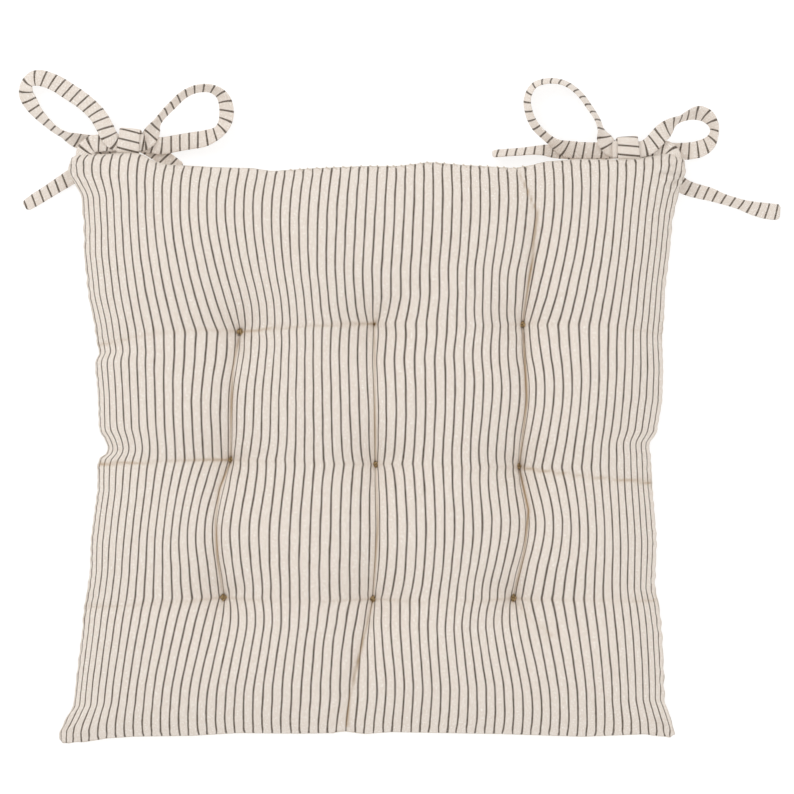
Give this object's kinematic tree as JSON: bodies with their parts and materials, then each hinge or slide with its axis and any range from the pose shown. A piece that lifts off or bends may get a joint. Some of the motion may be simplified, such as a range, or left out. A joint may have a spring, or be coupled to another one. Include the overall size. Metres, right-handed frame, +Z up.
{
  "type": "tufted chair seat pad",
  "caption": "Square knife-edged cushion of striped ticking, tufted through with twine, with pairs of fabric ties sewn into the back corners and tied in bows.",
  "frame": {"origin": "centre of the pad's own box, at the seat that it lies on, without its ties", "axes": "+Z up from the seat, +Y to the back edge with the ties, +X to the right seen from the front"},
  "size_m": [0.4989, 0.4398, 0.0477],
  "materials": {
    "ticking": "plain-weave cotton with narrow dark stripes, matte",
    "wadding": "soft cotton wadding, matte",
    "sewing_thread": "twisted sewing thread",
    "tuft_twine": "twisted waxed twine, olive brown"
  },
  "bodies": {
    "pad": {"cover_top": "ticking", "cover_bottom": "ticking", "filling": "wadding", "seam_thread": "sewing_thread", "closing_thread": "sewing_thread", "tuft_twine_1_1": "tuft_twine", "tuft_twine_1_2": "tuft_twine", "tuft_twine_1_3": "tuft_twine", "tuft_twine_2_1": "tuft_twine", "tuft_twine_2_2": "tuft_twine", "tuft_twine_2_3": "tuft_twine", "tuft_twine_3_1": "tuft_twine", "tuft_twine_3_2": "tuft_twine", "tuft_twine_3_3": "tuft_twine"},
    "left_bow": {"tie_left_a": "ticking", "tie_left_b": "ticking", "knot_left": "ticking"},
    "right_bow": {"tie_right_a": "ticking", "tie_right_b": "ticking", "knot_right": "ticking"}
  },
  "joints": [
    {"name": "left_bow_lift", "type": "hinge", "parent": "pad", "child": "left_bow", "pos_m": [-0.19, 0.1902, 0.015], "axis": [1, 0, 0], "range_deg": [0, 45]},
    {"name": "right_bow_lift", "type": "hinge", "parent": "pad", "child": "right_bow", "pos_m": [0.193, 0.1902, 0.015], "axis": [1, 0, 0], "range_deg": [0, 45]}
  ]
}
